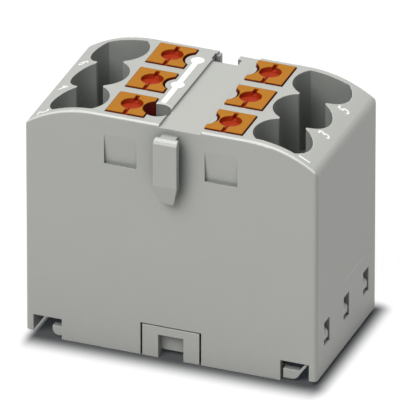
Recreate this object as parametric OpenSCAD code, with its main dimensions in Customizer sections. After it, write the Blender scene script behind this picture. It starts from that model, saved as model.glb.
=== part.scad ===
// Push-in power distribution block with two banks of clamping points.
// Origin at the centre of the underside, X along the length, Y to the rear, +Z up.

/* [Housing] */
// Length across both banks
body_l = 28.6; // [26:0.1:34]
// Width from the front face to the rear face
body_w = 15.6; // [15.4:0.1:16.4]
// Height at the flat middle of the arched top
body_h = 24.3; // [24:0.1:27]
// Half length of the flat middle of the top
flat_half = 7.6; // [6.8:0.1:8.5]
// Radius of the arch that falls away towards each end
arch_r = 11.3; // [10.6:0.1:12.5]
// Radius of the upright corners
corner_r = 0.36; // [0.2:0.02:0.6]
// Rounding of the front and rear rims of the top
rim_r = 0.25; // [0.1:0.05:0.4]
// Thickness of the front and rear walls
wall = 0.7; // [0.6:0.05:0.9]
// Thickness of the end walls
end_wall = 0.85; // [0.7:0.05:1.2]

/* [Clamping points] */
// Distance from one clamping point to the next
pitch = 5.1; // [5.05:0.01:5.2]
// Number of clamping points in each bank
poles = 3; // [3:1:3]
// Distance of the conductor entries from the middle
entry_x = 9.94; // [9.8:0.02:10.2]
// Radius of the entry funnels at the top
funnel_r = 2.75; // [2.65:0.05:2.85]
// Rounding of the cusps between two funnels
cusp_r = 0.2; // [0.1:0.05:0.4]
// Radius of the conductor hole below each funnel
entry_r = 2.0; // [1.6:0.1:2.1]

/* [Release buttons] */
// Length of a button, across the bank
button_l = 3.65; // [3.5:0.05:3.8]
// Width of a button, along the bank
button_w = 3.8; // [3.6:0.05:3.85]
// Distance of the button's inner edge from the middle
button_x = 3.0; // [2.95:0.05:3.1]
// How far a button stands proud of the top
button_proud = 0.14; // [0.05:0.01:0.4]
// Play between a button and its well
button_play = 0.12; // [0.06:0.01:0.15]
// Play between a button's notch and the boss in it
notch_play = 0.25; // [0.12:0.01:0.35]
// Travel of a button
travel = 1.5; // [1:0.1:1.6]
// Radius of the screwdriver recess
recess_r = 1.05; // [0.8:0.05:1.2]
// Depth of the screwdriver recess at its middle
recess_d = 0.4; // [0.3:0.05:1]
// Slope of the recess's floor, which rises to the front
recess_tilt = 8; // [0:1:15]
// Width of the slot across the screwdriver recess
slot_w = 0.42; // [0.3:0.02:0.8]
// Depth of that slot
slot_d = 0.45; // [0.2:0.05:0.8]
// The slot stops this far from the rear edge
slot_stop = 0.22; // [0.1:0.02:0.5]

/* [Coupling] */
// Width of the hook's head
hook_w = 2.3; // [2:0.05:2.4]
// How far the hook stands out from the front face
hook_out = 1.5; // [1.3:0.05:1.6]
// Thickness of the hook's head
hook_head = 0.65; // [0.5:0.05:1]
// Width of the hook's neck
hook_neck = 1.5; // [1:0.05:1.6]
// Depth of the slot in the rear face
rear_slot_d = 1.8; // [1.7:0.05:2]

/* [Metal parts] */
// Thickness of the current bar
bar_t = 0.8; // [0.6:0.05:0.9]
// Thickness of the spring strip
spring_t = 0.35; // [0.25:0.05:0.4]
// Width of the spring strip
spring_w = 3.4; // [3:0.1:3.6]

/* [Hidden] */

eps = 0.01;
$fn = 48;

// Odd numbers lie in the right bank and even ones in the left, counted from the front
function side(n) = n % 2 == 1 ? 1 : -1;
function pole_y(n) = (ceil(n / 2) - (poles + 1) / 2) * pitch;

arch_z = body_h - arch_r;          // height of the arch's axis
arch_x = body_l / 2 - flat_half;   // reach of the arch beyond its axis
end_round = 1.1;                   // rounding where the arch meets the end face

// Raised bank edges: the sunk strip in the middle lies off centre
strip_x0 = -1.15;
strip_x1 = 3.0;
strip_d = 0.27;

// Levels of the inside, from the underside up
foot_clear = 0.45;                 // the end walls stop this far above the underside
base_top = 5.6;                    // roof of the space for the base cover and current bar
bar_z = 4.35;                      // underside of the current bar
bar_hl = 12.8;                     // half length of the current bar
roof_z = 13.4;                     // roof of the conductor chambers
spring_top = 16.2;                 // highest point of a clamp spring
stem_z = spring_top + 0.08;        // lower end of a button's stem
cap_z = body_h - travel - 1.8;     // underside of a button's cap
ledge_z = cap_z - travel - 0.45;   // ledge in the housing that stops a button's flange
flange_z = ledge_z - 1.15;         // underside of the flange that keeps a button in
flange_gap = 0.06;                 // clearance between that flange and the ledge
funnel_z = 16.2;                   // floor of the merged funnels
cone_h = 1.1;                      // height of the cone between funnel and conductor hole
chamber_hw = 2.1;                  // half width of the chamber of one clamping point
chamber_x0 = 3.4;                  // inner wall of the chambers
button_end = button_x + button_l;  // outer edge of a button
chamber_x1 = body_l / 2 - 1.0;     // outer wall of the chambers

// Test socket, which lies in the notch of the front button of the left bank
socket_x = 2.3;
socket_r = 1.25;
socket_chamfer = 0.1;
socket_bore_r = 0.9;
socket_bore_z = 9;
notch_r = 1.4;

// Outside of the front wall at the height of the hook and pockets
hook_top = 23.5;
hook_taper = 18.75;                // the head narrows below this height
hook_tip = 16.75;
hook_tip_hw = 0.6;
pocket_x = 4.93;
pocket_w = 3.2;
pocket_z0 = 19.25;
pocket_z1 = 22.35;
pocket_d = 0.34;

// Feet and notches of the underside
notch_x0 = 10.76;
notch_x1 = 13.57;
notch_h = 2.1;
foot_w = 5.7;
foot_h = 3.26;
foot_gap = 0.15;
clip_hw = 1.25;                    // half width of the pocket for an adapter's clip
clip_h = 2.38;
clip_d = 0.85;
clip_ramp = 0.5;                   // height of the undercut behind that pocket
foot_d = 2.2;
toe_z = 0.22;
toe_h = 1.18;
toe_top = 2.04;
toe_lip = 0.24;
toe_lean = 55;
toe_long = 1.62;
toe_long_r = 0.8;
toe_short = 0.8;
toe_short_r = 0.6;
toe_gap = 0.2;                     // between a toe and the side of its notch
toe_y0 = -body_w / 2 + 0.25;
toe_y1 = toe_y0 + 0.7;
plate_hl = 10.4;                   // half length of the cover's plate
plate_t = 1.8;
rib_x = [5, 9.2];                  // ribs that carry the current bar
rib_t = 1;

// Latch windows in the end faces
window_w = 1.4;
window_z = 3.2;
window_h = 2.45;
latch_w = 0.95;
latch_shift = -0.07;               // the latch stands a little forward in its window

// Rectangle with its two far corners rounded, from x = 0 to x = reach
module rimmed_outline(reach, width, r) {
    translate([0, -width / 2])
        square([reach - r, width]);
    translate([0, -width / 2 + r])
        square([reach, width - 2 * r]);
    for (s = [-1, 1])
        translate([reach - r, s * (width / 2 - r)])
            circle(r = r);
}

module rounded_rect(length, width, r) {
    square([length - 2 * r, width], center = true);
    square([length, width - 2 * r], center = true);
    for (sx = [-1, 1], sy = [-1, 1])
        translate([sx * (length / 2 - r), sy * (width / 2 - r)])
            circle(r = r);
}

module block(x, y, z) {
    translate([x[0], y[0], z[0]])
        cube([x[1] - x[0], y[1] - y[0], z[1] - z[0]]);
}

// Outline in the XZ plane, extruded along Y between two places
module along_y(y0, y1) {
    translate([0, y1, 0])
        rotate([90, 0, 0])
            linear_extrude(y1 - y0)
                children();
}

// Outline in the YZ plane, extruded along X about the middle
module along_x(length) {
    rotate([90, 0, 90])
        translate([0, 0, -length / 2])
            linear_extrude(length)
                children();
}

// One end of the arched top: a disc with rounded rims, cut to its outer quarter
module arch_end(s) {
    intersection() {
        translate([s * flat_half, 0, arch_z])
            rotate([90, 0, 0])
                rotate_extrude($fn = 160)
                    rimmed_outline(arch_r, body_w, rim_r);
        block([s > 0 ? flat_half : -body_l / 2 - 1, s > 0 ? body_l / 2 + 1 : -flat_half],
              [-body_w, body_w], [arch_z, body_h + 1]);
    }
}

// Wedge outside the small rounding between arch and end face
module end_rounding(s) {
    c_x = body_l / 2 - end_round;
    c_z = arch_z + sqrt(pow(arch_r - end_round, 2) - pow(arch_x - end_round, 2));
    a = atan2(c_z - arch_z, arch_x - end_round);
    mirror([s > 0 ? 0 : 1, 0, 0])
        along_y(-body_w, body_w)
            translate([c_x, c_z])
                difference() {
                    polygon([[0, 0], [2, 0], [2, 2], 2 * [cos(a), sin(a)]]);
                    circle(r = end_round);
                }
}

module housing_shell() {
    intersection() {
        linear_extrude(body_h + 1)
            rounded_rect(body_l, body_w, corner_r);
        union() {
            block([-body_l / 2 - 1, body_l / 2 + 1], [-body_w, body_w], [0, arch_z]);
            translate([0, 0, arch_z])
                along_x(2 * flat_half)
                    rotate(90)
                        rimmed_outline(arch_r, body_w, rim_r);
            for (s = [-1, 1])
                arch_end(s);
        }
    }
}

// Outline of a button in the right bank, seen from above, or of its well with the play
module button_outline(play, notched = true) {
    difference() {
        translate([button_x - play, -button_w / 2 - play])
            square([button_l + 2 * play, button_w + 2 * play]);
        if (notched)
            translate([socket_x, 0])
                circle(r = play > 0 ? notch_r - notch_play : notch_r);
    }
}

// The three funnels of one bank, which run into each other past rounded cusps
module funnels() {
    tall = body_h + 1 - funnel_z;
    cusp_x = sqrt(pow(funnel_r + cusp_r, 2) - pow(pitch / 2, 2));
    neck_hw = cusp_x * funnel_r / (funnel_r + cusp_r);
    intersection() {
        translate([entry_x, 0, funnel_z]) {
            for (k = [-1 : 1])
                translate([0, k * pitch, 0])
                    cylinder(r = funnel_r, h = tall, $fn = 96);
            difference() {
                block([-neck_hw, neck_hw], [-pitch, pitch], [0, tall]);
                for (sx = [-1, 1], k = [-0.5, 0.5])
                    translate([sx * cusp_x, k * pitch, -1])
                        cylinder(r = cusp_r, h = tall + 2, $fn = 24);
            }
        }
        block([0, body_l / 2], [-body_w / 2 + wall, body_w / 2 - wall], [funnel_z - 1, body_h + 1]);
    }
    for (k = [-1 : 1])
        translate([entry_x, k * pitch, funnel_z - cone_h])
            cylinder(r1 = entry_r, r2 = entry_r + 0.45, h = cone_h + eps);
}

// Hollow for one clamping point of the right bank: button well, chamber and conductor hole
module pole_hollow(notched) {
    translate([0, 0, ledge_z - eps])
        linear_extrude(body_h)
            button_outline(button_play, notched);
    block([chamber_x0, button_end + 0.2], [-chamber_hw, chamber_hw], [base_top - eps, ledge_z]);
    block([chamber_x0, chamber_x1], [-chamber_hw, chamber_hw], [base_top - eps, roof_z]);
    translate([entry_x, 0, roof_z - eps])
        cylinder(r = entry_r, h = funnel_z - cone_h - roof_z + 2 * eps);
}

// Shallow wedge-shaped pocket in the front face, flush at its top
module front_pocket(s) {
    face = -body_w / 2;
    mirror([s > 0 ? 0 : 1, 0, 0])
        translate([pocket_x, 0, 0])
            along_x(pocket_w)
                polygon([[face - 1, pocket_z0], [face + pocket_d, pocket_z0],
                         [face, pocket_z1], [face - 1, pocket_z1]]);
}

// Hook on the front face: a neck and a head whose lower end tapers inwards
module hook() {
    face = -body_w / 2;
    front = face - hook_out;
    back = front + hook_head;
    hw = hook_w / 2;
    t = hook_tip_hw;
    intersection() {
        along_x(hook_w)
            polygon([[front, hook_taper], [front, hook_top - 0.42],
                     [front + 0.12, hook_top - 0.12], [front + 0.42, hook_top],
                     [back, hook_top], [back, hook_tip - 0.1], [back - 0.1, hook_tip]]);
        along_y(front - 1, face + 1)
            polygon([[-t + 0.15, hook_tip - 0.15], [t - 0.15, hook_tip - 0.15],
                     [t + 0.1, hook_tip + 0.2], [hw, hook_taper],
                     [hw, hook_top - 0.2], [hw - 0.1, hook_top + 0.1],
                     [-hw + 0.1, hook_top + 0.1], [-hw, hook_top - 0.2],
                     [-hw, hook_taper], [-t - 0.1, hook_tip + 0.2]]);
    }
    block([-hook_neck / 2, hook_neck / 2], [back - eps, face + eps],
          [hook_tip + 0.8, hook_top - 0.05]);
}

// T-shaped slot in the rear face, open at the top, that takes the hook of the next block
module rear_slot() {
    face = body_w / 2;
    floor_z = 16.1;
    lip = 0.7;
    block([-1.3, 1.3], [face - rear_slot_d, face - lip], [floor_z, body_h + 1]);
    block([-0.9, 0.9], [face - rear_slot_d, face + 1], [floor_z, body_h + 1]);
}

// Notches, foot openings and latch windows round the lower edge
module lower_openings() {
    for (sx = [-1, 1]) {
        x0 = sx > 0 ? notch_x0 : -notch_x1;
        block([x0, x0 + notch_x1 - notch_x0], [-body_w, body_w], [-1, notch_h]);
        for (k = [-1 : 1])
            translate([sx * body_l / 2, k * pitch, window_z + window_h / 2])
                cube([2 * end_wall + 1, window_w, window_h], center = true);
        translate([sx * (notch_x1 + 1), 0, 0])
            cube([2, 2 * body_w, 2 * foot_clear], center = true);
    }
    block([-foot_w / 2 - foot_gap, foot_w / 2 + foot_gap], [-body_w, body_w],
          [-1, foot_h + 0.08]);
}

// Space under the chambers, with a small bead along the lower edge of each end wall
module base_hollow() {
    x1 = body_l / 2 - end_wall;
    bead = 0.22;
    bead_z = foot_clear + 0.35;
    along_y(-body_w / 2 + wall, body_w / 2 - wall)
        polygon([[-x1 + bead, -eps], [x1 - bead, -eps], [x1 - bead, bead_z], [x1, bead_z],
                 [x1, base_top], [-x1, base_top], [-x1, bead_z], [-x1 + bead, bead_z]]);
}

module housing() {
    color("darkgray")
        difference() {
            union() {
                housing_shell();
                hook();
            }
            for (s = [-1, 1]) {
                end_rounding(s);
                front_pocket(s);
                mirror([s > 0 ? 0 : 1, 0, 0])
                    funnels();
            }
            block([strip_x0, strip_x1], [-body_w, body_w], [body_h - strip_d, body_h + 1]);
            for (n = [1 : 2 * poles])
                translate([0, pole_y(n), 0])
                    mirror([side(n) > 0 ? 0 : 1, 0, 0])
                        pole_hollow(n != 2);
            translate([-socket_x, pole_y(2), ledge_z + 1])
                cylinder(r = socket_r, h = body_h);
            translate([-socket_x, pole_y(2), body_h - socket_chamfer])
                cylinder(r1 = socket_r, r2 = socket_r + 2 * socket_chamfer, h = 2 * socket_chamfer);
            translate([-socket_x, pole_y(2), socket_bore_z])
                cylinder(r = socket_bore_r, h = body_h);
            block([-socket_x - 0.7, -socket_x + 0.7], [pole_y(2) - 1.2, pole_y(2) + 1.2],
                  [base_top - eps, socket_bore_z + eps]);
            rear_slot();
            lower_openings();
            base_hollow();
        }
}

// Foot in the middle of the front and rear faces, with a pocket for an adapter's clip
module cover_foot(s) {
    mirror([0, s > 0 ? 1 : 0, 0])
        difference() {
            block([-foot_w / 2, foot_w / 2], [-body_w / 2, -body_w / 2 + foot_d], [0, foot_h]);
            block([-clip_hw, clip_hw], [-body_w / 2 - 1, -body_w / 2 + clip_d], [-1, clip_h]);
            block([-clip_hw, clip_hw], [-body_w, -body_w / 2 + foot_d + eps], [-1, clip_ramp]);
        }
}

// Toe in a corner notch, with its outer lower corner rounded
module toe(length, r) {
    translate([0, toe_z])
        square([length - r, toe_h - toe_z]);
    translate([0, toe_z + r])
        square([length, toe_h - toe_z - r]);
    translate([length - r, toe_z + r])
        circle(r = r);
}

// Long toe at the right end, with a thin lip that slants up to the end wall
module long_toe() {
    inner_r = toe_long_r - 0.03;
    foot_x = toe_long - toe_long_r + inner_r * sin(toe_lean);
    foot_z = toe_z + toe_long_r - inner_r * cos(toe_lean);
    tip_x = foot_x + (toe_top - foot_z) / tan(toe_lean);
    toe(toe_long, toe_long_r);
    polygon([[foot_x - 0.5, foot_z + 0.1], [foot_x, foot_z], [tip_x, toe_top],
             [tip_x - toe_lip, toe_top], [toe_long - 0.15, toe_h - 0.02]]);
}

// Latch arm with a nose, bevelled below and above, that snaps into a window of the end wall
module cover_latch() {
    inside = body_l / 2 - end_wall - 0.05;
    outside = body_l / 2 - 0.06;
    arm_z = notch_h + 0.1;
    nose_z = window_z + 0.15;
    along_y(-latch_w / 2, latch_w / 2) {
        translate([rib_x[1], arm_z])
            square([inside - rib_x[1], 0.8]);
        translate([inside - 0.5, arm_z])
            square([0.5, 2.75]);
        polygon([[inside - 0.2, nose_z], [outside - 0.35, nose_z], [outside, nose_z + 0.35],
                 [outside, nose_z + 0.9], [outside - 0.15, nose_z + 1.15],
                 [inside, nose_z + 1.6], [inside - 0.2, nose_z + 1.6]]);
    }
}

// Plate that closes the underside, cut back at the corners and at the clip pockets
module cover_plate() {
    plate_y = body_w / 2 - wall - 0.1;
    difference() {
        union() {
            block([-plate_hl, plate_hl], [-plate_y, plate_y], [0, plate_t]);
            block([-plate_hl - 2.7, plate_hl + 2.7], [-plate_y + 3, plate_y - 3], [1, plate_t]);
        }
        for (s = [-1, 1])
            translate([0, s * body_w / 2, 0]) {
                cube([2 * clip_hw, 2 * clip_d, 2 * clip_h], center = true);
                cube([2 * clip_hw, 2 * foot_d, 2 * clip_ramp], center = true);
            }
    }
}

module base_cover() {
    color("darkgray") {
        cover_plate();
        for (s = [-1, 1])
            cover_foot(s);
        for (s = [0, 1])
            mirror([s, 0, 0]) {
                for (x = rib_x)
                    block([x, x + rib_t], [-6.4, 6.4], [plate_t - 0.3, bar_z]);
                for (k = [-1 : 1])
                    translate([0, k * pitch + latch_shift, 0])
                        cover_latch();
            }
        for (a = [0, 180])
            rotate([0, 0, a]) {
                translate([notch_x0 + toe_gap, 0, 0])
                    along_y(toe_y0, toe_y1)
                        long_toe();
                translate([-notch_x0 - toe_gap, 0, 0])
                    mirror([1, 0, 0])
                        along_y(toe_y0, toe_y1)
                            toe(toe_short, toe_short_r);
                for (s = [-1, 1])
                    translate([s * plate_hl, 0, 0])
                        block([-0.8, 0.8], [toe_y1 - eps, toe_y1 + 0.5], [0, toe_h]);
            }
    }
}

// Copper bar: a flat plate that joins all points, with an upright contact tab at each
module current_bar() {
    bar_hw = 6.6;
    tab_hw = 1.8;
    tab_top = roof_z - 0.6;
    slot_x = 3.6;
    slot_hw = 0.3;
    finger_x = 7.2;
    finger_gap = 0.45;
    color("peru")
        union() {
            difference() {
                block([-bar_hl, bar_hl], [-bar_hw, bar_hw], [bar_z, bar_z + bar_t]);
                for (n = [1 : 2 * poles])
                    translate([side(n) * slot_x, pole_y(n), 0])
                        block([-slot_hw, slot_hw], [-tab_hw, tab_hw], [0, 10]);
                for (s = [0, 1], k = [-0.5, 0.5])
                    mirror([s, 0, 0])
                        translate([finger_x, k * pitch, 0])
                            block([0, bar_hl], [-finger_gap, finger_gap], [0, 10]);
            }
            for (n = [1 : 2 * poles])
                translate([0, pole_y(n), 0])
                    mirror([side(n) > 0 ? 0 : 1, 0, 0])
                        block([bar_hl - bar_t, bar_hl], [-tab_hw, tab_hw], [bar_z, tab_top]);
            translate([-socket_x, pole_y(2), 0])
                block([-bar_t / 2, bar_t / 2], [-1.1, 1.1], [bar_z, socket_bore_z - 0.3]);
        }
}

// Button: cap, body with a flange that keeps it in, and a stem that rests on the spring
module release_button(n) {
    top = body_h + button_proud;
    shank_x = [button_x + 0.65, button_end - 0.15];
    shank_hw = button_w / 2 - 0.1;
    flange_hw = chamber_hw - 0.06;
    stem_x = [4.1, 6.1];
    stem_hw = 1.5;
    color("darkorange")
        translate([0, pole_y(n), 0])
            mirror([side(n) > 0 ? 0 : 1, 0, 0])
                difference() {
                    union() {
                        translate([0, 0, cap_z])
                            linear_extrude(top - cap_z)
                                button_outline(0);
                        block(shank_x, [-shank_hw, shank_hw], [flange_z, cap_z + eps]);
                        block(shank_x, [-flange_hw, flange_hw], [flange_z, ledge_z - flange_gap]);
                        block(stem_x, [-stem_hw, stem_hw], [stem_z, flange_z + eps]);
                    }
                    translate([button_x + button_l / 2, 0, top - recess_d])
                        rotate([-recess_tilt, 0, 0])
                            cylinder(r = recess_r, h = 2);
                    translate([button_x + button_l / 2, 0, top])
                        block([-slot_w / 2, slot_w / 2], [-button_w, button_w / 2 - slot_stop],
                              [-slot_d, 1]);
                }
}

// Clamp spring: one bent strip with a standing leg, a loop and a clamping leg
module clamp_spring(n) {
    t = spring_t / 2;
    leg_x = 3.62;
    loop_r = 1.45;
    loop_x = leg_x + loop_r;
    loop_z = spring_top - loop_r - t;
    bend_r = 1.5;
    bend_z = 13.1;
    bend_x = loop_x + loop_r + bend_r;
    leg_end = [11.6, 7.65];
    path = concat(
        [[leg_x, bar_z + 0.1]],
        [for (i = [0 : 16]) [loop_x - loop_r * cos(180 * i / 16), loop_z + loop_r * sin(180 * i / 16)]],
        [for (i = [0 : 6]) [bend_x - bend_r * cos(45 * i / 6), bend_z - bend_r * sin(45 * i / 6)]],
        [leg_end]);
    last = len(path) - 1;
    function dir(a, b) = (b - a) / norm(b - a);
    function tangent(i) = dir(path[max(i - 1, 0)], path[min(i + 1, last)]);
    function side_of(i, d) = path[i] + d * [-tangent(i)[1], tangent(i)[0]];
    color("silver")
        translate([0, pole_y(n), 0])
            mirror([side(n) > 0 ? 0 : 1, 0, 0])
                along_y(-spring_w / 2, spring_w / 2)
                    polygon(concat([for (i = [0 : last]) side_of(i, t)],
                                   [for (i = [last : -1 : 0]) side_of(i, -t)]));
}

housing();
base_cover();
current_bar();
release_button(1);  // release_button_1
release_button(2);  // release_button_2
release_button(3);  // release_button_3
release_button(4);  // release_button_4
release_button(5);  // release_button_5
release_button(6);  // release_button_6
clamp_spring(1);  // clamp_spring_1
clamp_spring(2);  // clamp_spring_2
clamp_spring(3);  // clamp_spring_3
clamp_spring(4);  // clamp_spring_4
clamp_spring(5);  // clamp_spring_5
clamp_spring(6);  // clamp_spring_6
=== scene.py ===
import math

import bpy
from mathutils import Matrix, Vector


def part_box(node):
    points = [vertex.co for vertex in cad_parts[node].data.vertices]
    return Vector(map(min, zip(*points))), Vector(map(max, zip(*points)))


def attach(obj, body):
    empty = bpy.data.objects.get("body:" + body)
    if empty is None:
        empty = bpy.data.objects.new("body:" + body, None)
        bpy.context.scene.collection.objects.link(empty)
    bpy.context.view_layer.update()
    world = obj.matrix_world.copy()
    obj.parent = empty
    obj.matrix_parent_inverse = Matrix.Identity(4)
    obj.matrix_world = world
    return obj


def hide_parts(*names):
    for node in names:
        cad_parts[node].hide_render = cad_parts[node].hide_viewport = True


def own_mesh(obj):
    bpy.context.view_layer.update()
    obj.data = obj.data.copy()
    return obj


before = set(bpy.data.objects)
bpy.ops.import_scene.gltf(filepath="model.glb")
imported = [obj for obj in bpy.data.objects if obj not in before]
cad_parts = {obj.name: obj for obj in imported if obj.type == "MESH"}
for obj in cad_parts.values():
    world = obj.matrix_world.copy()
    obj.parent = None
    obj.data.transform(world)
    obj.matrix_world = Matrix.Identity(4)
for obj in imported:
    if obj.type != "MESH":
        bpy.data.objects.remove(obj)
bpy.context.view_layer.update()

# Housing. One injection moulding of grey polyamide, open at the bottom, with deep funnels
# for the conductors. The tool leaves a fine satin grain and softly broken edges, and the
# two halves of the tool leave a faint line across the lower part of each end face. Its colour
# holds painted shade in the funnels and crevices, and painted highlights on rims and that line.
MM = 0.001
EDGE_BREAK = 0.11
FUNNEL_REACH = 8
CREVICE_SHADE_REACH = 0.7
GRAIN_SIZE = 0.16
PARTING_Z = 7.3
PARTING_MIDDLE_Y = 2.1
END_FACE_X = 14.25
POLYAMIDE_DARK = (0.395, 0.401, 0.374, 1)
POLYAMIDE_PALE = (0.425, 0.431, 0.403, 1)
PAINTED_FUNNEL_SHADE = (0.265, 0.275, 0.26, 1)
PAINTED_CREVICE_SHADE = (0.02, 0.021, 0.02, 1)
PAINTED_EDGE_HIGHLIGHT = (0.72, 0.73, 0.70, 1)
PARTING_LINE_HIGHLIGHT = (0.6, 0.61, 0.58, 1)


class Wave:
    """A shader socket whose arithmetic adds Math nodes."""

    def __init__(self, tree, socket):
        self.tree = tree
        self.socket = socket

    def node(self, kind, settings=None, result=0, **values):
        """Add a node with its settings and the values or links of its sockets."""
        made = self.tree.nodes.new(kind)
        for name, value in (settings or {}).items():
            setattr(made, name, value)
        for name, value in values.items():
            numbered = name[0] == "i" and name[1:].isdigit()
            target = made.inputs[int(name[1:]) if numbered else name.replace("_", " ")]
            if isinstance(value, Wave):
                self.tree.links.new(value.socket, target)
            else:
                target.default_value = value
        return Wave(self.tree, made.outputs[result])

    def maths(self, operation, first, second=0.0):
        return self.node("ShaderNodeMath", {"operation": operation}, i0=first, i1=second)

    def __add__(self, other):
        return self.maths("ADD", self, other)

    __radd__ = __add__

    def __sub__(self, other):
        return self.maths("SUBTRACT", self, other)

    def __rsub__(self, other):
        return self.maths("SUBTRACT", other, self)

    def __mul__(self, other):
        return self.maths("MULTIPLY", self, other)

    __rmul__ = __mul__

    def __truediv__(self, other):
        return self.maths("DIVIDE", self, other)

    def part(self, letter):
        """One of the three numbers of a place or a direction."""
        return self.node("ShaderNodeSeparateXYZ", result="XYZ".index(letter), Vector=self)

    def axis(self, letter):
        """One coordinate of a place, in millimetres."""
        return self.part(letter) * (1 / MM)

    def size(self):
        return self.maths("ABSOLUTE", self)

    def rise(self, low, high):
        """0 below low and 1 above high, with a soft step between them."""
        return self.node("ShaderNodeMapRange", {"interpolation_type": "SMOOTHSTEP"},
                         Value=self, From_Min=low, From_Max=high)

    def noise(self, size, detail=2.0):
        """Noise whose lumps are about this many millimetres across."""
        return self.node("ShaderNodeTexNoise", Vector=self, Scale=1 / MM / size, Detail=detail)

    def blend(self, share, first, second):
        """A colour between two colours."""
        return self.node("ShaderNodeMix", {"data_type": "RGBA"}, 2, i0=share, i6=first, i7=second)

    def broken_edge(self, radius):
        """The direction of the surface with its edges rounded by this many millimetres."""
        return self.node("ShaderNodeBevel", {"samples": 6}, Radius=radius * MM)

    def feed(self, target):
        self.tree.links.new(self.socket, target)


def finish_for(name, build):
    """A material whose build function gets the place on the object and the shader."""
    material = bpy.data.materials.new(name)
    material.use_nodes = True
    tree = material.node_tree
    shader = tree.nodes["Principled BSDF"]
    spot = tree.nodes.new("ShaderNodeTexCoord")
    build(Wave(tree, spot.outputs["Object"]), shader.inputs)
    return material


def wear(name, material):
    """Give a carried-over part its material."""
    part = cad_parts[name]
    part.data.materials.clear()
    part.data.materials.append(material)


def grey_polyamide(place, shader):
    across, along, up = (place.axis(letter) for letter in "XYZ")
    shade = 0.6 * place.noise(6.0, 3.0) + 0.4 * place.noise(0.5)
    body = place.blend(shade, POLYAMIDE_DARK, POLYAMIDE_PALE)
    openness = place.node("ShaderNodeAmbientOcclusion", {"samples": 8, "only_local": True}, "AO",
                          Distance=FUNNEL_REACH * MM)
    crevice_openness = place.node("ShaderNodeAmbientOcclusion", {"samples": 6}, "AO",
                     Distance=CREVICE_SHADE_REACH * MM)
    soft_edge = place.broken_edge(EDGE_BREAK)
    true_face = place.node("ShaderNodeNewGeometry", result="Normal")
    turned = 1 - place.node("ShaderNodeVectorMath", {"operation": "DOT_PRODUCT"}, "Value",
                            i0=soft_edge, i1=true_face)
    rim = 2 * true_face.part("Y").size() * true_face.part("Z")
    # Mask for the painted highlight on broken edges and on the front and rear rims.
    edge_highlight = place.maths("MAXIMUM", turned.rise(0.01, 0.2), rim.rise(0.35, 0.9))
    edge_highlight = edge_highlight * openness.rise(0.6, 0.9)
    line = (1 - (up - PARTING_Z).size().rise(0.03, 0.09)) * across.size().rise(
        END_FACE_X - 0.05, END_FACE_X)
    line = line * (1 - (along - PARTING_MIDDLE_Y).size().rise(2.6, 3.4))
    # Painted shade: the colour turns dark deep inside the funnels, where little light reaches.
    body = place.blend(openness.rise(0.5, 0.95), PAINTED_FUNNEL_SHADE, body)
    # Painted shade: narrow crevices and gaps between parts are coloured nearly black.
    body = place.blend(crevice_openness.rise(0.0, 0.3), PAINTED_CREVICE_SHADE, body)
    # Painted highlight: broken edges and rims are coloured paler, where the light catches them.
    body = place.blend(edge_highlight * 0.7, body, PAINTED_EDGE_HIGHLIGHT)
    # Painted highlight: the parting line is coloured paler; the bump below gives it a real ridge.
    body = place.blend(line * 0.45, body, PARTING_LINE_HIGHLIGHT)
    body.feed(shader["Base Color"])
    grain = place.noise(GRAIN_SIZE)
    (0.36 + 0.14 * grain).feed(shader["Roughness"])
    shader["Specular IOR Level"].default_value = 0.45
    place.node("ShaderNodeBump", Strength=0.35, Distance=MM, Height=grain * 0.012 + line * 0.02,
               Normal=soft_edge).feed(shader["Normal"])


grey = finish_for("grey_polyamide", grey_polyamide)
wear("housing", grey)


# White marks. Pad-printed on the housing as a thin film of ink: a number beside each
# conductor entry, and on the left bank a line that joins the test point to two dots.
PITCH = 5.1
ARCH_RADIUS = 11.3 * MM
FLAT_HALF = 7.6 * MM
INK = 0.03 * MM
DIGIT_HEIGHT = 1.5
DIGIT_SWELL = 0.014
DIGIT_X = 12.85
DIGIT_BEFORE_ENTRY = 1.95
LINK_X = -2.3
LINK_WIDTH = 0.55
LINK_LENGTH = 8.8
LINK_MIDDLE_Y = -1.85
DOT_RADIUS = 0.64
INK_DARK = (0.80, 0.81, 0.80, 1)
INK_PALE = (0.90, 0.91, 0.90, 1)
housing_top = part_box("housing")[1][2]


def white_ink(place, shader):
    film = place.noise(0.35, 3.0)
    place.blend(film, INK_DARK, INK_PALE).feed(shader["Base Color"])
    (0.5 + 0.2 * film).feed(shader["Roughness"])
    place.node("ShaderNodeBump", Strength=0.2, Distance=MM,
               Height=film * 0.01).feed(shader["Normal"])


ink = finish_for("white_ink", white_ink)


def lay_on_top(mark, name, spot, turn):
    """Turn a flat mark, move it to its spot and let it follow the arched top."""
    mark.name = name
    mark.rotation_euler = (0, 0, turn)
    mark.location = (spot[0] * MM, spot[1] * MM, 0)
    bpy.ops.object.transform_apply(location=True, rotation=True, scale=True)
    for vertex in mark.data.vertices:
        fall = max(abs(vertex.co.x) - FLAT_HALF, 0)
        vertex.co.z += housing_top - ARCH_RADIUS + math.sqrt(ARCH_RADIUS ** 2 - fall ** 2)
    mark.data.materials.append(ink)
    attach(mark, "block")


for number in range(1, 7):
    bank = 1 if number % 2 else -1
    entry_y = ((number - 1) // 2 - 1) * PITCH
    bpy.ops.object.select_all(action="DESELECT")
    bpy.ops.object.text_add()
    digit = bpy.context.object
    digit.data.body = str(number)
    digit.data.align_x = "CENTER"
    digit.data.align_y = "CENTER"
    digit.data.size = DIGIT_HEIGHT * MM
    digit.data.offset = DIGIT_SWELL * MM
    digit.data.extrude = INK
    digit.data.resolution_u = 6
    bpy.ops.object.convert(target="MESH")
    digit = bpy.context.object
    bpy.ops.object.mode_set(mode="EDIT")
    bpy.ops.mesh.select_all(action="SELECT")
    bpy.ops.mesh.remove_doubles(threshold=0.001 * MM)
    bpy.ops.mesh.normals_make_consistent(inside=False)
    bpy.ops.object.mode_set(mode="OBJECT")
    lay_on_top(digit, f"number_{number}", (bank * DIGIT_X, entry_y - DIGIT_BEFORE_ENTRY),
               bank * math.radians(90))

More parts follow.
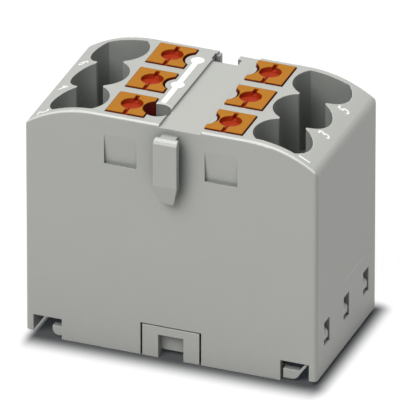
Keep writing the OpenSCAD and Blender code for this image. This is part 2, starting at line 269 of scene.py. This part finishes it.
bpy.ops.object.select_all(action="DESELECT")
bpy.ops.mesh.primitive_cube_add(size=1, location=(0, LINK_MIDDLE_Y * MM, 0))
link_mark = bpy.context.object
link_mark.dimensions = (LINK_WIDTH * MM, LINK_LENGTH * MM, 2 * INK)
bpy.ops.object.transform_apply(location=True, rotation=True, scale=True)
for dot_y in (-PITCH / 2, PITCH / 2):
    bpy.ops.object.select_all(action="DESELECT")
    bpy.ops.mesh.primitive_cylinder_add(vertices=40, radius=DOT_RADIUS * MM, depth=2 * INK,
                                        location=(0, dot_y * MM, 0))
    dot = bpy.context.object
    join = link_mark.modifiers.new("dot", "BOOLEAN")
    join.operation = "UNION"
    join.solver = "EXACT"
    join.object = dot
    bpy.context.view_layer.objects.active = link_mark
    bpy.ops.object.modifier_apply(modifier="dot")
    bpy.data.objects.remove(dot)
bpy.ops.object.select_all(action="DESELECT")
link_mark.select_set(True)
bpy.context.view_layer.objects.active = link_mark
lay_on_top(link_mark, "test_link_mark", (LINK_X, PITCH / 2), 0)


# Release buttons. Six loose mouldings of orange polyamide that slide in the housing.
# Each has a round recess for a screwdriver blade and a slot across it. The recess, the slot
# and the sides below the top face are coloured dark with painted shade.
BUTTON_FACE = 24.44
BUTTON_MIDDLE = 4.825
RECESS_RADIUS = 1.05
SLOT_HALF = 0.2
ORANGE_DARK = (0.365, 0.135, 0.003, 1)
ORANGE_PALE = (0.41, 0.158, 0.005, 1)
PAINTED_FLANK_SHADE = (0.15, 0.012, 0.008, 1)
PAINTED_RECESS_SHADE = (0.34, 0.028, 0.006, 1)


def orange_polyamide(place, shader):
    depth = BUTTON_FACE - place.axis("Z")
    across = place.axis("X").size() - BUTTON_MIDDLE
    along = place.node("ShaderNodeMath", {"operation": "WRAP"}, i0=place.axis("Y"),
                       i1=PITCH / 2, i2=-PITCH / 2)
    from_middle = place.maths("SQRT", across * across + along * along)
    in_recess = 1 - from_middle.rise(RECESS_RADIUS, RECESS_RADIUS + 0.15)
    in_slot = 1 - across.size().rise(SLOT_HALF, SLOT_HALF + 0.1)
    face = place.blend(place.noise(2.2, 3.0), ORANGE_DARK, ORANGE_PALE)
    # Painted shade: the sides below the top face are coloured dark brown.
    shaded_flank = place.blend(depth.rise(0.02, 0.08), face, PAINTED_FLANK_SHADE)
    # Painted shade: the recess and slot are coloured dark red, darkest at the deep rear, for the
    # shade and the reflected orange light inside them.
    shaded_dish = place.blend(along.rise(-1.1, -0.2), face, PAINTED_RECESS_SHADE)
    shaded_hollow = place.blend(depth.rise(0.01, 0.1), face, place.blend(in_slot, shaded_dish, PAINTED_RECESS_SHADE))
    inner = place.maths("MAXIMUM", in_recess, in_slot)
    place.blend(inner, shaded_flank, shaded_hollow).feed(shader["Base Color"])
    grain = place.noise(0.14)
    (0.4 + 0.15 * grain).feed(shader["Roughness"])
    shader["Specular IOR Level"].default_value = 0.14
    place.node("ShaderNodeBump", Strength=0.3, Distance=MM, Height=grain * 0.01,
               Normal=place.broken_edge(0.07)).feed(shader["Normal"])


orange = finish_for("orange_polyamide", orange_polyamide)
for number in range(1, 7):
    wear(f"release_button_{number}", orange)


# Clamp springs. Bright stainless spring strip, bent to a loop, one in each chamber. One
# leg stands in a slot of the current bar, and the button presses the loop down.
STEEL_DARK = (0.56, 0.55, 0.52, 1)
STEEL_PALE = (0.66, 0.65, 0.62, 1)


def loose_copy(part, name):
    """Copy a carried-over part and join its loose triangles, so that it can change shape."""
    bpy.ops.object.select_all(action="DESELECT")
    copy = part.copy()
    copy.data = part.data.copy()
    copy.name = name
    for key in list(copy.keys()):
        del copy[key]
    copy.parent = None
    bpy.context.collection.objects.link(copy)
    copy.select_set(True)
    bpy.context.view_layer.objects.active = copy
    bpy.ops.object.mode_set(mode="EDIT")
    bpy.ops.mesh.select_all(action="SELECT")
    bpy.ops.mesh.remove_doubles(threshold=0.0005 * MM)
    bpy.ops.object.mode_set(mode="OBJECT")
    copy.data.materials.clear()
    return copy


def spring_steel(place, shader):
    shader["Metallic"].default_value = 1.0
    rolled = place.noise(0.3, 4.0)
    place.blend(rolled, STEEL_DARK, STEEL_PALE).feed(shader["Base Color"])
    (0.22 + 0.18 * rolled).feed(shader["Roughness"])


strip = finish_for("spring_steel", spring_steel)
for number in range(1, 7):
    spring = loose_copy(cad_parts[f"clamp_spring_{number}"], f"sprung_strip_{number}")
    spring.data.materials.append(strip)
    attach(spring, "block")
    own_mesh(spring)
    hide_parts(f"clamp_spring_{number}")


# Current bar. Punched and bent from copper sheet and tin-plated, it joins all six points.
# It lies on the ribs of the base cover, and each point has an upright contact tab.
TIN_DARK = (0.62, 0.585, 0.53, 1)
TIN_PALE = (0.74, 0.715, 0.67, 1)


def tinned_copper(place, shader):
    shader["Metallic"].default_value = 1.0
    matt = place.noise(0.7, 4.0)
    place.blend(matt, TIN_DARK, TIN_PALE).feed(shader["Base Color"])
    (0.32 + 0.2 * matt).feed(shader["Roughness"])


wear("current_bar", finish_for("tinned_copper", tinned_copper))


# Base cover. A second grey moulding that closes the underside; its latches snap into the
# windows of the end faces. Its corner toes are cut level and its feet have a little play.
TOE_FRONT = -7.65
TOE_BACK = -6.82
TOE_TOP = 1.18
TOE_SPARE = 0.7
LONG_TOE = (10.9, 12.42)
SHORT_TOE = (-11.9, -10.6)
LONG_TOE_SLANT = 0.5
FOOT_HALF = 2.85
FOOT_TOP = 3.26
FOOT_PLAY = 0.05
CLEAR_X = 4
CLEAR_Y = -8
TOP_PLAY_BACK = -7.2
SIDE_PLAY_BACK = -7.25


def cut_away(cover, low, high, turn, slant=0.0):
    """Cut a block between two corners away; its far side slants outwards to the top."""
    bpy.ops.object.select_all(action="DESELECT")
    middle = [(a + b) / 2 * MM for a, b in zip(low, high)]
    bpy.ops.mesh.primitive_cube_add(size=1, location=middle)
    cutter = bpy.context.object
    cutter.dimensions = [(b - a) * MM for a, b in zip(low, high)]
    bpy.ops.object.transform_apply(location=True, rotation=True, scale=True)
    bpy.ops.object.mode_set(mode="EDIT")
    bpy.ops.mesh.select_all(action="DESELECT")
    bpy.ops.object.mode_set(mode="OBJECT")
    for vertex in cutter.data.vertices:
        vertex.select = vertex.co.z > middle[2] and vertex.co.x > middle[0]
    bpy.ops.object.mode_set(mode="EDIT")
    bpy.ops.transform.translate(value=(slant * MM, 0, 0))
    bpy.ops.object.mode_set(mode="OBJECT")
    cutter.rotation_euler = (0, 0, turn)
    bpy.ops.object.transform_apply(location=True, rotation=True, scale=True)
    trim = cover.modifiers.new("trim", "BOOLEAN")
    trim.operation = "DIFFERENCE"
    trim.solver = "EXACT"
    trim.object = cutter
    bpy.context.view_layer.objects.active = cover
    bpy.ops.object.modifier_apply(modifier="trim")
    bpy.data.objects.remove(cutter)


base_cover = loose_copy(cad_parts["base_cover"], "base_cover_trimmed")
for turn in (0, math.pi):
    for toe, slant in ((LONG_TOE, LONG_TOE_SLANT), (SHORT_TOE, 0.0)):
        cut_away(base_cover, (toe[0], TOE_FRONT, TOE_TOP),
                 (toe[1], TOE_BACK, TOE_TOP + TOE_SPARE), turn, slant)
    cut_away(base_cover, (-CLEAR_X, CLEAR_Y, FOOT_TOP - FOOT_PLAY),
             (CLEAR_X, TOP_PLAY_BACK, FOOT_TOP + 1), turn)
    cut_away(base_cover, (FOOT_HALF - FOOT_PLAY, CLEAR_Y, -1),
             (CLEAR_X, SIDE_PLAY_BACK, FOOT_TOP + 1), turn)
    cut_away(base_cover, (-CLEAR_X, CLEAR_Y, -1),
             (FOOT_PLAY - FOOT_HALF, SIDE_PLAY_BACK, FOOT_TOP + 1), turn)
base_cover.data.materials.append(grey)
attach(base_cover, "block")
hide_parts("base_cover")


# Studio. A pale floor with a dark shadow painted close round the object, a white surround and
# two soft lamps: one above and a little behind, and one high in front and to the left.
FLOOR_SIZE = 1.2
SHADE_RIGHT = (14.2, 1.9)
SHADE_LEFT = (13.3, 1.3)
SHADE_REAR = (7.8, 2.0)
SHADE_FRONT = (7.85, 3.2)
PAINTED_CONTACT_SHADOW = (0.016, 0.019, 0.023, 1)
OPEN_FLOOR = (1, 1, 1, 1)
FLOOR_UNSEEN = (0.56, 0.56, 0.56, 1)
FLOOR_SEEN = (0.95, 0.95, 0.95, 1)
AMBIENT = 0.14

bpy.ops.object.select_all(action="DESELECT")
bpy.ops.mesh.primitive_plane_add(size=FLOOR_SIZE, location=(0, 0, 0))
floor = bpy.context.object
floor.name = "floor"


def seen_directly(wave):
    """1 for what the camera sees straight, in a reflection or through glass, else 0."""
    camera, gloss, glass = (wave.node("ShaderNodeLightPath", result=f"Is {kind} Ray")
                            for kind in ("Camera", "Glossy", "Transmission"))
    return wave.maths("MAXIMUM", wave.maths("MAXIMUM", camera, gloss), glass)


def pale_floor(place, shader):
    def beyond(outwards, edge, reach):
        return place.maths("MAXIMUM", outwards - edge, 0.0) / reach

    across, along = place.axis("X"), place.axis("Y")
    away_x = beyond(across, *SHADE_RIGHT) + beyond(-1 * across, *SHADE_LEFT)
    away_y = beyond(along, *SHADE_REAR) + beyond(-1 * along, *SHADE_FRONT)
    away = place.maths("SQRT", away_x * away_x + away_y * away_y)
    # Painted shadow: the floor is coloured dark close round the block and turns white further
    # off.
    shade = place.blend(away.rise(0.0, 1.0), PAINTED_CONTACT_SHADOW, OPEN_FLOOR)
    seen = seen_directly(place)
    place.blend(seen, FLOOR_UNSEEN, FLOOR_SEEN).feed(shader["Base Color"])
    shader["Roughness"].default_value = 0.9
    shader["Specular IOR Level"].default_value = 0.1
    glow = place.node("ShaderNodeEmission", Color=shade, Strength=1.03)
    surface = Wave(place.tree, place.tree.nodes["Principled BSDF"].outputs["BSDF"])
    mixed = place.node("ShaderNodeMixShader", Fac=seen * 0.9, i1=surface, i2=glow)
    mixed.feed(place.tree.nodes["Material Output"].inputs["Surface"])


floor.data.materials.append(finish_for("pale_floor", pale_floor))

world = bpy.data.worlds.new("surround")
bpy.context.scene.world = world
world.use_nodes = True
backdrop = world.node_tree.nodes["Background"]
seen = seen_directly(Wave(world.node_tree, None))
(AMBIENT + (1 - AMBIENT) * seen).feed(backdrop.inputs["Strength"])
backdrop.inputs["Color"].default_value = (1, 1, 1, 1)


def soft_lamp(name, place, size, power):
    """A round lamp that is aimed at the middle of the block."""
    bpy.ops.object.light_add(type="AREA", location=place)
    lamp = bpy.context.object
    lamp.name = name
    lamp.data.shape = "DISK"
    lamp.data.size = size
    lamp.data.energy = power
    aim = Vector((0, 0, 12 * MM)) - Vector(place)
    lamp.rotation_euler = aim.to_track_quat("-Z", "Y").to_euler()


soft_lamp("top_lamp", (0.07, 0.11, 0.39), size=0.25, power=1.06)
soft_lamp("front_lamp", (-0.08, -0.27, 0.31), size=0.3, power=1.33)


# Camera. A long lens, far off, to the right of the front and above it, so that upright
# edges stay upright.
CAMERA_PLACE = (443.7 * MM, -1155.8 * MM, 684.5 * MM)
LINE_OF_SIGHT = (-0.31508, 0.82054, -0.47691)

bpy.ops.object.camera_add(location=CAMERA_PLACE)
camera = bpy.context.object
camera.rotation_euler = Vector(LINE_OF_SIGHT).to_track_quat("-Z", "Y").to_euler()
camera.data.sensor_width = 36
camera.data.lens = 1378.1
camera.data.clip_start = 0.05
camera.data.clip_end = 10
bpy.context.scene.camera = camera
bpy.context.scene.view_settings.view_transform = "Standard"
